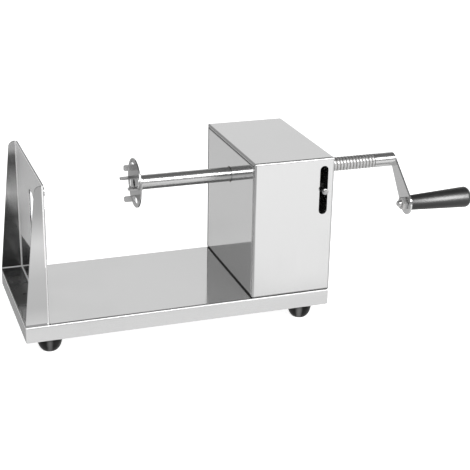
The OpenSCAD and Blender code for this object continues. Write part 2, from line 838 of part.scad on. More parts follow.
module half_nut_rivets() {
    color(zinc) place() for (y = rivet_y) translate([lever_x - half_nut_l / 2, y, rivet_z]) along_x()
        cylinder(h = half_nut_l, r = rivet_r, $fn = smooth);
}

module lever_knob() {
    color(zinc) place() translate([lever_x, 0, shaft_z]) rotate([-90, 0, 0]) {
        translate([0, 0, -knob_out]) cylinder(h = knob_head, d = knob_d, $fn = smooth);
        translate([0, 0, knob_head - knob_out])
            cylinder(h = knob_tab_y + knob_out - knob_head, r = knob_neck_r, $fn = smooth);
        translate([0, 0, knob_tab_y]) cylinder(h = tab_t + m3 * nut_h_ratio + 1, d = m3, $fn = smooth);
    }
}

module knob_nut() {
    color(zinc) place() translate([lever_x, knob_tab_y + tab_t, shaft_z]) rotate([-90, 0, 0]) hex_nut(m3);
}

// Pivot of the lever on the right panel

module pivot_spacer() {
    color(zinc) place() translate([pin_x, pivot_y, pivot_z]) along_x() {
        tube(right_in - pin_x, pivot_pin_r, m6 / 2 + fit_gap);
        translate([0, 0, pin_l]) tube(right_in - pin_x - pin_l, pivot_hub_r - 1, m6 / 2 + fit_gap);
    }
}

module pivot_washer() {
    color(zinc) place() translate([pin_x - washer_l, pivot_y, pivot_z]) along_x()
        tube(washer_l, pivot_hub_r - 1, m6 / 2 + fit_gap);
}

module pivot_nut() {
    color(zinc) place() translate([pin_x - washer_l - m6 * nut_h_ratio, pivot_y, pivot_z]) along_x()
        hex_nut(m6);
}

module pivot_screw() {
    grip = base_l - pin_x + washer_l + m6 * nut_h_ratio + 1;
    color(zinc) place() translate([base_l, pivot_y, pivot_z]) mirror([1, 0, 0]) along_x()
        round_screw(m6, grip);
}

// Shelf and return spring

module spring_shelf() {
    color(steel) place() difference() {
        union() {
            translate([lever_x - seat_w / 2, spring_y - seat_w / 2, shelf_z])
                cube([right_in - lever_x + seat_w / 2, seat_w, shelf_t]);
            translate([right_in - shelf_t, spring_y - seat_w / 2, shelf_z + shelf_t - shelf_leg])
                cube([shelf_t, seat_w, shelf_leg]);
        }
        for (z = shelf_screw_z) translate([right_in - shelf_t - 1, spring_y, z]) along_x()
            cylinder(h = shelf_t + 2, r = m4 / 2 + fit_gap, $fn = smooth);
    }
}

module shelf_screws() {
    grip = panel_t + shelf_t + m4 * nut_h_ratio + 1;
    color(zinc) place() for (z = shelf_screw_z)
        translate([base_l, spring_y, z]) mirror([1, 0, 0]) along_x() round_screw(m4, grip);
}

module shelf_nuts() {
    color(zinc) place() for (z = shelf_screw_z)
        translate([right_in - shelf_t - m4 * nut_h_ratio, spring_y, z]) along_x() hex_nut(m4);
}

module return_spring() {
    rings = coils * coil_rings;
    s = wire_sides;
    points = [for (i = [0:rings]) each coil_ring(i / coil_rings)];
    sides = [for (i = [0:rings - 1], k = [0:s - 1]) each [
        [i * s + k, i * s + (k + 1) % s, (i + 1) * s + k],
        [i * s + (k + 1) % s, (i + 1) * s + (k + 1) % s, (i + 1) * s + k]]];
    first = [for (k = [1:s - 2]) [0, k + 1, k]];
    last = [for (k = [1:s - 2]) [rings * s, rings * s + k, rings * s + k + 1]];
    echo(str("Least gap between coils: ", coil_gap, " mm"));
    color(zinc) place() translate([lever_x, spring_y, shelf_z + shelf_t])
        polyhedron(points, concat(sides, first, last), convexity = 10);
}

base_tray();
rubber_feet();
foot_screws();
foot_nuts();
blade_stand();
stand_screws();
blade();
blade_spacers();
blade_screws();
blade_nuts();
skewer_guide();
box_cover();
left_panel();
right_panel();
box_screws();
box_nuts();
bush_housing();
housing_nuts();
guide_bush();
outer_bush();
bush_ring();
shaft_tube();
lead_screw();
crank_collar();
prong_disc();
hub_collar();
crank_arm();
handle_bolt();
handle_nut();
grip_washer();
grip();
release_lever();
half_nut();
half_nut_rivets();
lever_knob();
knob_nut();
pivot_screw();
pivot_spacer();
pivot_washer();
pivot_nut();
spring_shelf();
shelf_screws();
shelf_nuts();
return_spring();
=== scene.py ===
import json
import math
import bmesh
import bpy
from mathutils import Matrix, Vector

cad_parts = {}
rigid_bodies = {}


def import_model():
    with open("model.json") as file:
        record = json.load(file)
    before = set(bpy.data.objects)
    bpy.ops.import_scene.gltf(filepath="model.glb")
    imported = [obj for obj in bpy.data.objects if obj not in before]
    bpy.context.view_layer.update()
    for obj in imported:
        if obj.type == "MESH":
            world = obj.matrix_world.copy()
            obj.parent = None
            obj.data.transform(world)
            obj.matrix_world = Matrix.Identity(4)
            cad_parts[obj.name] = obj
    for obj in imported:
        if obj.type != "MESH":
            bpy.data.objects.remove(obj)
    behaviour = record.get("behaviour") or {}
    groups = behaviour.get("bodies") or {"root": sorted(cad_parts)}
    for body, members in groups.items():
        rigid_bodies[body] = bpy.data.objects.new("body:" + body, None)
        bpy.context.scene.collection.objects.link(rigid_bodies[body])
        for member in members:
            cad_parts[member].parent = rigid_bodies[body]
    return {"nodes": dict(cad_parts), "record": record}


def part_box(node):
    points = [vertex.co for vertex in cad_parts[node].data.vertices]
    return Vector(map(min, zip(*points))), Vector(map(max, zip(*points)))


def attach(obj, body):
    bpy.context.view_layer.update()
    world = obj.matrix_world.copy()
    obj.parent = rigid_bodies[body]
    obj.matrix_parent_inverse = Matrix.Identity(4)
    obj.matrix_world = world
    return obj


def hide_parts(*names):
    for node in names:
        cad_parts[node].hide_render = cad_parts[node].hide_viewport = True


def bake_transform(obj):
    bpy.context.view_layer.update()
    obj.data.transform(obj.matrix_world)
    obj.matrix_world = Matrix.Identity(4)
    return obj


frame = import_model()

scene = bpy.context.scene
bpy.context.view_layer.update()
mm = 0.001
alongX = Vector((1, 0, 0))
alongY = Vector((0, 1, 0))
alongZ = Vector((0, 0, 1))
bodyOfNode = {}
for body, members in frame["record"]["behaviour"]["bodies"].items():
    for member in members:
        bodyOfNode[member] = body


# Shader values that can be added and multiplied like numbers
class Wire:
    def __init__(self, tree, socket=None):
        self.tree = tree
        self.socket = socket

    # Adds a node and gives its output out. The setting stops is a ramp's (place, shade) pairs
    def node(self, kind, settings=None, sockets=None, out=0):
        made = self.tree.nodes.new(kind)
        for key, value in (settings or {}).items():
            if key == "stops":
                while len(made.color_ramp.elements) < len(value):
                    made.color_ramp.elements.new(1.0)
                for element, (place, shade) in zip(made.color_ramp.elements, value):
                    element.position = place
                    element.color = (shade, shade, shade, 1)
            else:
                setattr(made, key, value)
        for key, value in (sockets or {}).items():
            if isinstance(value, Wire):
                self.tree.links.new(value.socket, made.inputs[key])
            else:
                made.inputs[key].default_value = value
        if not len(made.outputs):
            return self
        return Wire(self.tree, made.outputs[out])

    def pick(self, name):
        return Wire(self.tree, self.socket.node.outputs[name])

    def compute(self, operation, first, second=0.0):
        return self.node("ShaderNodeMath", {"operation": operation}, {0: first, 1: second})

    def __add__(self, other):
        return self.compute("ADD", self, other)

    def __radd__(self, other):
        return self.compute("ADD", other, self)

    def __sub__(self, other):
        return self.compute("SUBTRACT", self, other)

    def __rsub__(self, other):
        return self.compute("SUBTRACT", other, self)

    def __mul__(self, other):
        return self.compute("MULTIPLY", self, other)

    def __rmul__(self, other):
        return self.compute("MULTIPLY", other, self)

    def __truediv__(self, other):
        return self.compute("DIVIDE", self, other)

    def __pow__(self, other):
        return self.compute("POWER", self, other)


def newFinish(name):
    finish = bpy.data.materials.new(name)
    finish.use_nodes = True
    finish.node_tree.nodes.clear()
    return finish, Wire(finish.node_tree)


# Object coordinates, measured from centre in units of scale
def objectPlace(wire, scale=(1, 1, 1), centre=(0, 0, 0)):
    place = wire.node("ShaderNodeTexCoord", out="Object")
    return wire.node("ShaderNodeMapping", {"vector_type": "TEXTURE"},
                     {"Vector": place, "Location": centre, "Scale": scale})


def axesOf(wire, centre=(0, 0, 0)):
    parts = wire.node("ShaderNodeSeparateXYZ", {}, {0: objectPlace(wire, centre=centre)})
    return {axis: parts.pick(axis) for axis in "XYZ"}


# grain is the size of a blotch in metres, either one number or one each along X, Y and Z
def noise(wire, grain, detail=3.0, uneven=0.55):
    size = grain if isinstance(grain, tuple) else (grain, grain, grain)
    sockets = {"Vector": objectPlace(wire, size), "Scale": 1.0, "Detail": detail, "Roughness": uneven}
    return wire.node("ShaderNodeTexNoise", {"noise_dimensions": "3D"}, sockets, "Fac")


# Goes softly from low to high while value goes from start to end
def between(wire, value, low, high, start, end):
    return wire.node("ShaderNodeMapRange", {"interpolation_type": "SMOOTHSTEP"},
                     {"Value": value, "From Min": start, "From Max": end, "To Min": low, "To Max": high},
                     "Result")


# Reads a level off a list of (share, level) pairs, at value's share of the way from start to end
def levelAt(wire, stops, value, start, end):
    share = wire.node("ShaderNodeMapRange", {"interpolation_type": "LINEAR"},
                      {"Value": value, "From Min": start, "From Max": end}, "Result")
    return wire.node("ShaderNodeValToRGB", {"stops": stops}, {"Fac": share})


# Soft patches of noise, where edges are the noise levels between which a patch begins
def patches(wire, grain, edges, detail=3.0):
    return between(wire, noise(wire, grain, detail), 0, 1, *edges)


def blend(wire, share, first, second):
    return wire.node("ShaderNodeMix", {"data_type": "RGBA", "clamp_factor": True},
                     {0: share, 6: first, 7: second}, 2)


def surface(wire, sockets):
    shader = wire.node("ShaderNodeBsdfPrincipled", {}, sockets, "BSDF")
    wire.node("ShaderNodeOutputMaterial", {}, {"Surface": shader})


def bump(wire, height, distance, strength=1.0):
    return wire.node("ShaderNodeBump", {}, {"Height": height, "Distance": distance, "Strength": strength})


def grey(level, warm=0.0):
    return (level * (1 + warm), level, level * (1 - warm), 1)


# Masks that are 1 within half of reach of a plane, a line or a node's outline, and 0 beyond reach

def fade(wire, away, reach):
    return between(wire, away, 1, 0, reach * 0.5, reach)


def diagonal(first, second):
    return (first * first + second * second) ** 0.5


def nearPlane(wire, place, axis, at, reach):
    return fade(wire, wire.compute("ABSOLUTE", place[axis] - at), reach)


def nearLine(wire, place, first, second, reach):
    return fade(wire, diagonal(place[first[0]] - first[1], place[second[0]] - second[1]), reach)


def nearOutline(wire, place, nodeName, reach):
    low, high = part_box(nodeName)
    sides = []
    for axis in "XY":
        middle = (getattr(low, axis.lower()) + getattr(high, axis.lower())) / 2
        half = getattr(high, axis.lower()) - middle
        sides.append(wire.compute("ABSOLUTE", place[axis] - middle) - half)
    return fade(wire, wire.compute("ABSOLUTE", wire.compute("MAXIMUM", sides[0], sides[1])), reach)


def anyOf(masks):
    clear = 1 - masks[0]
    for mask in masks[1:]:
        clear = clear * (1 - mask)
    return 1 - clear


# Finishes. Shades come in pairs, and grains, patches and reliefs are in metres

# The darkest grey is for painted shade, painted reflection and the stand's cut top edge; the palest grey is
# for painted highlights and painted reflection
sheetSteel = {"light": 0.76, "dark": 0.70, "paintedLightGrey": 0.88, "darkened": 0.06, "metal": 0.92,
              "brushedShare": 0.7, "smudge": 0.09, "smudgeEdges": (0.45, 0.75), "wave": 0.12,
              "gloss": 0.055, "brushedRough": 0.035, "smudgeRough": 0.05, "darkenedRough": 0.2,
              "highlightRough": 0.3, "highlightMatt": 0.75, "paintedLightRough": 0.25, "paintedLightMatt": 0.85,
              "brushedRelief": 0.02, "relief": 0.00012}


# Masks for painted shade and painted reflection darken a sheet, and darken the stand's cut top edge too;
# masks for painted highlight lines along the bends make it lighter, rougher and less metallic; and masks
# for painted light make it lighter and matt
def steelSheet(name, grain, look=sheetSteel, darkMarks=None, bendHighlights=None, paintedLight=None):
    finish, wire = newFinish(name)
    place = axesOf(wire)
    metal = look["metal"]
    brushed = noise(wire, grain, detail=4.0, uneven=0.6)
    smudge = patches(wire, look["smudge"], look["smudgeEdges"], detail=2.0)
    wave = noise(wire, look["wave"], detail=1.0)
    share = brushed * look["brushedShare"] + smudge * (1 - look["brushedShare"])
    colour = blend(wire, share, grey(look["light"]), grey(look["dark"]))
    rough = look["gloss"] + brushed * look["brushedRough"] + smudge * look["smudgeRough"]
    # Painted shade and painted reflection, darker and rougher, and the stand's darker cut top edge
    if darkMarks is not None:
        darkened = anyOf(darkMarks(wire, place))
        colour = blend(wire, darkened, colour, grey(look["darkened"]))
        rough = rough + darkened * look["darkenedRough"]
    # Painted highlight lines along the bends
    if bendHighlights is not None:
        highlighted = anyOf(bendHighlights(wire, place))
        colour = blend(wire, highlighted, colour, grey(look["paintedLightGrey"]))
        rough = rough + highlighted * look["highlightRough"]
        metal = metal * (1 - highlighted * look["highlightMatt"])
    # Painted light: lighter, rougher and less metallic
    if paintedLight is not None:
        lightened = anyOf(paintedLight(wire, place))
        colour = blend(wire, lightened, colour, grey(look["paintedLightGrey"]))
        rough = rough + lightened * look["paintedLightRough"]
        metal = metal * (1 - lightened * look["paintedLightMatt"])
    height = brushed * look["brushedRelief"] + wave
    surface(wire, {"Base Color": colour, "Metallic": metal, "Roughness": rough,
                   "Normal": bump(wire, height, look["relief"])})
    return finish


turnedLook = {"dull": 0.88, "turningShare": 0.6, "speckle": 0.004, "turningRough": 0.08, "relief": 0.000008}


# Steel turned round an axis along X, with grooves of that width
def turnedSteel(name, light=0.68, grooves=0.0004, rough=0.2):
    finish, wire = newFinish(name)
    look = turnedLook
    turning = wire.node("ShaderNodeTexNoise", {"noise_dimensions": "1D"},
                        {"W": axesOf(wire)["X"] / grooves, "Scale": 1.0, "Detail": 3.0}, "Fac")
    share = turning * look["turningShare"] + noise(wire, look["speckle"]) * (1 - look["turningShare"])
    surface(wire, {"Base Color": blend(wire, share, grey(light), grey(light * look["dull"])),
                   "Metallic": 1.0, "Roughness": rough + turning * look["turningRough"],
                   "Normal": bump(wire, turning, look["relief"])})
    return finish


# The crest of the thread is rubbed bright from rootUnder to crestUnder below the shaft's surface
threadLook = {"root": grey(0.30, 0.03), "crest": grey(0.62), "oil": grey(0.5, 0.02),
              "rootUnder": 0.00065, "crestUnder": 0.00015, "fine": (0.0004, 0.003, 0.003),
              "oilPatch": (0.012, 0.01, 0.01), "oilEdges": (0.4, 0.7), "oilShare": 0.25,
              "rough": 0.48, "wornSmooth": 0.14, "fineRough": 0.08, "relief": 0.00004}


def threadSteel(name, centre, radius):
    finish, wire = newFinish(name)
    look = threadLook
    place = axesOf(wire, centre)
    away = diagonal(place["Y"], place["Z"])
    worn = between(wire, away, 0, 1, radius - look["rootUnder"], radius - look["crestUnder"])
    fine = noise(wire, look["fine"])
    oil = patches(wire, look["oilPatch"], look["oilEdges"], detail=2.0)
    colour = blend(wire, worn, look["root"], look["crest"])
    colour = blend(wire, oil * look["oilShare"], colour, look["oil"])
    rough = look["rough"] - worn * look["wornSmooth"] + fine * look["fineRough"]
    surface(wire, {"Base Color": colour, "Metallic": 1.0, "Roughness": rough,
                   "Normal": bump(wire, fine, look["relief"])})
    return finish


# The blade is brushed up to its bevel's Y in front of the shaft, and ground from there to its edge
bladeLook = {"shades": (grey(0.78), grey(0.66)), "bevel": (-0.0045, -0.0038),
             "ground": (0.004, 0.004, 0.0003), "flat": (0.02, 0.0006, 0.02),
             "rough": 0.12, "flatRough": 0.07, "groundRough": 0.22, "flatRelief": 0.5, "relief": 0.00003}


def groundBlade(name):
    finish, wire = newFinish(name)
    look = bladeLook
    nearEdge = between(wire, axesOf(wire)["Y"], 0, 1, *look["bevel"])
    ground = noise(wire, look["ground"], uneven=0.6) * nearEdge
    brushed = noise(wire, look["flat"], detail=4.0, uneven=0.6)
    flat = brushed * (1 - nearEdge)
    rough = look["rough"] + brushed * look["flatRough"] + ground * look["groundRough"]
    surface(wire, {"Base Color": blend(wire, ground + flat, *look["shades"]), "Metallic": 1.0,
                   "Roughness": rough,
                   "Normal": bump(wire, ground + flat * look["flatRelief"], look["relief"])})
    return finish


# Finishes with a fine grain and soft patches

def zincLook(light=0.66):
    return {"shades": (grey(light, 0.01), grey(light * 0.84, -0.01)), "metal": 1.0, "grain": 0.0012,
            "detail": 4.0, "uneven": 0.65, "patch": 0.006, "patchDetail": 2.0, "edges": (0.35, 0.7),
            "speckle": 0.0, "rough": 0.2, "grainRough": 0.14, "patchRough": 0.06, "relief": 0.00004}


bronzeLook = {"shades": ((0.60, 0.41, 0.18, 1), (0.42, 0.27, 0.12, 1)), "metal": 1.0, "grain": 0.0008,
              "detail": 4.0, "uneven": 0.7, "patch": 0.007, "patchDetail": 3.0, "edges": (0.35, 0.7),
              "speckle": 0.0, "rough": 0.26, "grainRough": 0.16, "patchRough": 0.08, "relief": 0.00006}
nylonLook = {"shades": ((0.80, 0.79, 0.74, 1), (0.66, 0.64, 0.57, 1)), "metal": 0.0, "grain": 0.0011,
             "detail": 4.0, "uneven": 0.6, "patch": 0.009, "patchDetail": 2.0, "edges": (0.4, 0.75),
             "speckle": 0.0, "rough": 0.38, "grainRough": 0.12, "patchRough": 0.0, "relief": 0.00004}
blackenedLook = {"shades": (grey(0.035), grey(0.07, 0.03)), "metal": 0.8, "grain": 0.0009,
                 "detail": 4.0, "uneven": 0.6, "patch": 0.008, "patchDetail": 3.0, "edges": (0.35, 0.7),
                 "speckle": 0.3, "rough": 0.4, "grainRough": 0.14, "patchRough": 0.0, "relief": 0.00004}
springLook = {"shades": (grey(0.10), grey(0.05)), "metal": 1.0, "grain": 0.0005,
              "detail": 3.0, "uneven": 0.55, "patch": 0.003, "patchDetail": 2.0, "edges": None,
              "speckle": 0.0, "rough": 0.22, "grainRough": 0.12, "patchRough": 0.0, "relief": 0.00002}


def grainyFinish(name, look):
    finish, wire = newFinish(name)
    fine = noise(wire, look["grain"], look["detail"], look["uneven"])
    patch = noise(wire, look["patch"], look["patchDetail"])
    if look["edges"] is not None:
        patch = between(wire, patch, 0, 1, *look["edges"])
    share = patch * (1 - look["speckle"]) + fine * look["speckle"]
    rough = look["rough"] + fine * look["grainRough"] + patch * look["patchRough"]
    surface(wire, {"Base Color": blend(wire, share, *look["shades"]), "Metallic": look["metal"],
                   "Roughness": rough, "Normal": bump(wire, fine, look["relief"])})
    return finish


gripLook = {"shades": (grey(0.008), grey(0.022)), "peel": 0.0035, "fine": 0.0008,
            "wear": (0.02, 0.012, 0.012), "wearEdges": (0.5, 0.8), "fineShare": 0.6,
            "rough": 0.36, "wearRough": 0.08, "fineRough": 0.05, "specular": 0.4, "coat": 0.2,
            "coatRough": 0.3, "relief": 0.00008, "peelStrength": 0.6}


def glossyPlastic(name):
    finish, wire = newFinish(name)
    look = gripLook
    peel = noise(wire, look["peel"], detail=2.0)
    fine = noise(wire, look["fine"])
    wear = patches(wire, look["wear"], look["wearEdges"])
    share = fine * look["fineShare"] + wear * (1 - look["fineShare"])
    rough = look["rough"] + wear * look["wearRough"] + fine * look["fineRough"]
    surface(wire, {"Base Color": blend(wire, share, *look["shades"]), "Metallic": 0.0, "Roughness": rough,
                   "Specular IOR Level": look["specular"], "Coat Weight": look["coat"],
                   "Coat Roughness": look["coatRough"],
                   "Normal": bump(wire, peel, look["relief"], look["peelStrength"])})
    return finish


# Rubber has a painted highlight, pale where its side faces the viewer squarely, and scuffs near the floor
rubberLook = {"shades": (grey(0.006), grey(0.022)), "facingHighlight": grey(0.25), "facingHighlightEdges": (0.065, 0.15),
              "facingHighlightGrain": 0.3, "grain": 0.0009, "dust": 0.008, "dustEdges": (0.45, 0.75),
              "dustShare": 0.5, "scuffs": (0.0005, 0.004), "scuffShare": 0.6, "rough": 0.24,
              "grainRough": 0.1, "dustRough": 0.08, "specular": 0.15, "relief": 0.00003}


def softRubber(name):
    finish, wire = newFinish(name)
    look = rubberLook
    grain = noise(wire, look["grain"], detail=4.0, uneven=0.65)
    dust = patches(wire, look["dust"], look["dustEdges"])
    scuffed = between(wire, axesOf(wire)["Z"], 1, 0, *look["scuffs"]) * grain
    colour = blend(wire, dust * look["dustShare"] + scuffed * look["scuffShare"], *look["shades"])
    outward = wire.node("ShaderNodeNewGeometry", out="Normal")
    level = wire.node("ShaderNodeVectorMath", {"operation": "MULTIPLY"}, {0: outward, 1: (1, 1, 0)})
    level = wire.node("ShaderNodeVectorMath", {"operation": "NORMALIZE"}, {0: level})
    facing = wire.node("ShaderNodeLayerWeight", {}, {"Blend": 0.5, "Normal": level}, "Facing")
    # Painted highlight where the side faces the viewer squarely
    facingHighlight = between(wire, facing, 1, 0, *look["facingHighlightEdges"])
    facingHighlight = facingHighlight * (1 - look["facingHighlightGrain"] + grain * look["facingHighlightGrain"])
    rough = look["rough"] + grain * look["grainRough"] + dust * look["dustRough"]
    surface(wire, {"Base Color": blend(wire, facingHighlight, colour, look["facingHighlight"]), "Metallic": 0.0,
                   "Roughness": rough, "Specular IOR Level": look["specular"],
                   "Normal": bump(wire, grain, look["relief"])})
    return finish


# Where the sheets and the shaft lie

tubeLow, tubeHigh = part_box("shaft_tube")
shaftAt = Vector((0, (tubeLow.y + tubeHigh.y) / 2, (tubeLow.z + tubeHigh.z) / 2))
shaftRadius = (tubeHigh.y - tubeLow.y) / 2
gripLow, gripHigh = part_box("grip")
gripAt = Vector((gripLow.x, (gripLow.y + gripHigh.y) / 2, (gripLow.z + gripHigh.z) / 2))
standLow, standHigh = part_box("blade_stand")
coverLow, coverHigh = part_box("box_cover")
baseLow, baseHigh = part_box("base_tray")
panelLow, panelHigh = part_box("left_panel")

# The painted highlight line of an outer bend lies a third of the way from the vertical side to the top
highlightLine = {"radius": 0.0025, "inwards": 0.15, "down": 0.5, "reach": 0.0008}


def bendHighlightLines(wire, place, low, high, axes):
    lines = []
    for axis in axes:
        for corner, inward in ((low, 1), (high, -1)):
            at = getattr(corner, axis.lower()) + inward * highlightLine["radius"] * highlightLine["inwards"]
            top = high.z - highlightLine["radius"] * highlightLine["down"]
            lines.append(nearLine(wire, place, (axis, at), ("Z", top), highlightLine["reach"]))
    return lines


# Seams are (reach, strength) of the painted shade line round what stands on the base
baseMarks = {"skin": (0.0009, 0.0005), "seams": {"box_cover": (0.0007, 0.7), "blade_stand": (0.0011, 0.7)}}


def basePaintedShade(wire, place):
    under, at = baseMarks["skin"]
    onTop = between(wire, place["Z"], 0, 1, baseHigh.z - under, baseHigh.z - at)
    return [nearOutline(wire, place, nodeName, reach) * onTop * strength
            for nodeName, (reach, strength) in baseMarks["seams"].items()]


def baseBendHighlights(wire, place):
    return bendHighlightLines(wire, place, baseLow, baseHigh, "YX")


# A skin is how near to a face a mark has to be to lie on that face
standMarks = {"sheet": 0.002, "skin": 0.0006, "insideFrom": 0.0002, "floorSkin": (0.0002, 0.0006),
              "cutSkin": (0.0004, 0.0001), "cutDull": 0.75, "floorShade": (0.5, 0.95),
              "floorAcross": (0.032, 0.06), "bendIn": (0.00125, 0.0003), "bendReach": 0.0009,
              "bendShare": 0.6, "seamReach": 0.0012, "mirrorSlope": 0.142, "mirrorTop": (0.0881, 0.0901)}
# Painted reflection bands on the back flange's inner side: how dark they are, from its foot to its top
flangeReflectionBands = [(0.0, 0.9), (0.08, 0.8), (0.2, 0.42), (0.3, 0.55), (0.41, 0.84), (0.6, 0.1),
               (0.72, 0.5), (0.83, 0.84), (0.89, 0.76), (0.94, 0.12), (1.0, 0.04)]
standFloor = standLow.z + standMarks["sheet"]
standInner = standHigh.x - standMarks["sheet"]
flangeInner = standHigh.y - standMarks["sheet"]


# Painted shade on the channel's floor, deeper towards the back, painted reflection bands on the back
# flange's inner side, and a darker cut top edge
def standShadingAndCutEdge(wire, place):
    marks = standMarks
    inside = between(wire, place["X"], 1, 0, standInner - marks["insideFrom"], standInner)
    onFloor = between(wire, place["Z"], 1, 0, *(standFloor + skin for skin in marks["floorSkin"]))
    cutTop = between(wire, place["Z"], 0, 1, *(standHigh.z - skin for skin in marks["cutSkin"]))
    onFlange = nearPlane(wire, place, "Y", flangeInner, marks["skin"])
    dull = levelAt(wire, flangeReflectionBands, place["Z"], standFloor, standHigh.z)
    deeper = between(wire, place["Y"], *marks["floorShade"], *(standLow.y + y for y in marks["floorAcross"]))
    return [inside * onFloor * deeper, cutTop * marks["cutDull"], inside * onFlange * dull]


# Painted highlight lines where the plate bends into its two flanges
def standBendHighlights(wire, place):
    across, inwards = standMarks["bendIn"]
    return [nearLine(wire, place, ("X", standHigh.x - across), ("Y", y), standMarks["bendReach"])
            * standMarks["bendShare"] for y in (standLow.y + inwards, standHigh.y - inwards)]


# The plate is painted lighter and matt above a slanted line, a painted reflection, and the seams inside the
# channel get painted highlight lines
def standPaintedLight(wire, place):
    marks = standMarks
    slanted = place["Z"] + place["Y"] * marks["mirrorSlope"]
    onPlate = nearPlane(wire, place, "X", standInner, marks["skin"])
    seams = [(("X", standInner), ("Y", flangeInner)), (("X", standInner), ("Z", standFloor)),
             (("Y", flangeInner), ("Z", standFloor))]
    return [onPlate * between(wire, slanted, 0, 1, *marks["mirrorTop"])] + [
        nearLine(wire, place, first, second, marks["seamReach"]) for first, second in seams]


# Painted shade along the cover's four upright corners and along its foot on the base
coverMarks = {"rimReach": 0.0028, "rimShare": 0.4, "footReach": 0.0022}


def coverBendHighlights(wire, place):
    return bendHighlightLines(wire, place, coverLow, coverHigh, "Y")


def coverPaintedShade(wire, place):
    rims = [nearLine(wire, place, ("X", x), ("Y", y), coverMarks["rimReach"]) * coverMarks["rimShare"]
            for x in (coverLow.x, coverHigh.x) for y in (coverLow.y, coverHigh.y)]
    return rims + [nearPlane(wire, place, "Z", coverLow.z, coverMarks["footReach"])]


# Painted shade along the panel's rim and along a line near its bottom: rim and bottom are (reach,
# strength), and up is how far the bottom's line is above the base
panelMarks = {"rim": (0.0014, 0.8), "bottom": (0.0005, 0.6), "up": 0.0015}


def panelPaintedShade(wire, place):
    edges = [("Y", panelLow.y, "rim"), ("Y", panelHigh.y, "rim"), ("Z", panelHigh.z, "rim"),
             ("Z", coverLow.z + panelMarks["up"], "bottom")]
    return [nearPlane(wire, place, axis, at, panelMarks[mark][0]) * panelMarks[mark][1]
            for axis, at, mark in edges]


uprightGrain = (0.0012, 0.0012, 0.05)
finishes = {
    "base": steelSheet("baseSteel", (0.05, 0.0012, 0.0012), darkMarks=basePaintedShade, bendHighlights=baseBendHighlights),
    "stand": steelSheet("standSteel", uprightGrain, dict(sheetSteel, metal=1.0), standShadingAndCutEdge, standBendHighlights,
                        standPaintedLight),
    "cover": steelSheet("coverSteel", uprightGrain, darkMarks=coverPaintedShade, bendHighlights=coverBendHighlights),
    "panel": steelSheet("panelSteel", uprightGrain, darkMarks=panelPaintedShade),
    "arm": steelSheet("armSteel", (0.0009, 0.0009, 0.03), dict(sheetSteel, light=0.68, dark=0.6)),
    "disc": turnedSteel("discSteel", light=0.52, grooves=0.0008, rough=0.24),
    "tube": turnedSteel("tubeSteel"),
    "guide": turnedSteel("guideSteel", light=0.70, grooves=0.0005, rough=0.18),
    "thread": threadSteel("threadSteel", shaftAt, shaftRadius),
    "zinc": grainyFinish("zincFastener", zincLook()),
    "bolt": grainyFinish("boltSteel", zincLook(0.6)),
    # Painted shade: the knob and the grip washer get darker copies of the zinc
    "knob": grainyFinish("knobSteelShaded", zincLook(0.46)),
    "washer": grainyFinish("washerSteelShaded", zincLook(0.2)),
    "black": grainyFinish("blackenedSteel", blackenedLook),
    "blade": groundBlade("groundBlade"),
    "bronze": grainyFinish("castBronze", bronzeLook),
    "nylon": grainyFinish("paleNylon", nylonLook),
    "grip": glossyPlastic("gripPlastic"),
    "rubber": softRubber("footRubber"),
    "spring": grainyFinish("springWire", springLook),
}
nodesOfFinish = {
    "base": ["base_tray"], "stand": ["blade_stand"], "cover": ["box_cover"],
    "panel": ["left_panel", "right_panel"], "arm": ["crank_arm"], "disc": ["prong_disc"],
    "tube": ["shaft_tube", "crank_collar", "hub_collar"], "thread": ["lead_screw"],
    "guide": ["bush_housing", "skewer_guide", "blade_spacers"], "blade": ["blade"],
    "bolt": ["handle_bolt", "handle_nut"], "knob": ["lever_knob"], "washer": ["grip_washer"],
    "black": ["release_lever", "spring_shelf", "shelf_screws", "shelf_nuts", "pivot_screw", "pivot_nut",
              "pivot_spacer", "pivot_washer", "stand_screws"],
    "bronze": ["guide_bush", "half_nut"], "nylon": ["outer_bush"], "grip": ["grip"],
    "rubber": ["rubber_feet"], "spring": ["return_spring"],
}
finishOfNode = {nodeName: "zinc" for nodeName in frame["nodes"]}
for finishName, members in nodesOfFinish.items():
    for member in members:
        finishOfNode[member] = finishName
for nodeName, cadNode in frame["nodes"].items():
    cadNode.material_slots[0].material = finishes[finishOfNode[nodeName]]
print("finishes:", len(finishes))


# New pieces. Their settings are in millimetres and degrees

# Vertices nearer to each other than this, in metres, are one
mergeWithin = {"piece": 1e-7, "thread": 1e-6, "solid": 2e-6}
# Sine and cosine at every ten degrees of a quarter turn, for rounded outlines
quarterTurn = [(math.sin(math.radians(angle)), math.cos(math.radians(angle)))
               for angle in range(10, 91, 10)]


# stretched is for a piece between two bodies: the other body, and where the stretch starts and ends. Only
# whether it is given is used, and such a piece is left on no body
def newPiece(name, bm, nodeName, smoothBelow=35, stretched=None):
    bmesh.ops.remove_doubles(bm, verts=bm.verts, dist=mergeWithin["piece"])
    bmesh.ops.recalc_face_normals(bm, faces=bm.faces)
    mesh = bpy.data.meshes.new(name)
    bm.to_mesh(mesh)
    bm.free()
    for face in mesh.polygons:
        face.use_smooth = True
    mesh.set_sharp_from_angle(angle=math.radians(smoothBelow))
    piece = bpy.data.objects.new(name, mesh)
    scene.collection.objects.link(piece)
    mesh.materials.append(finishes[finishOfNode[nodeName]])
    if stretched is None:
        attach(piece, bodyOfNode[nodeName])
    else:
        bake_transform(piece)
    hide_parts(nodeName)
    print("piece:", name, len(mesh.polygons), "faces")


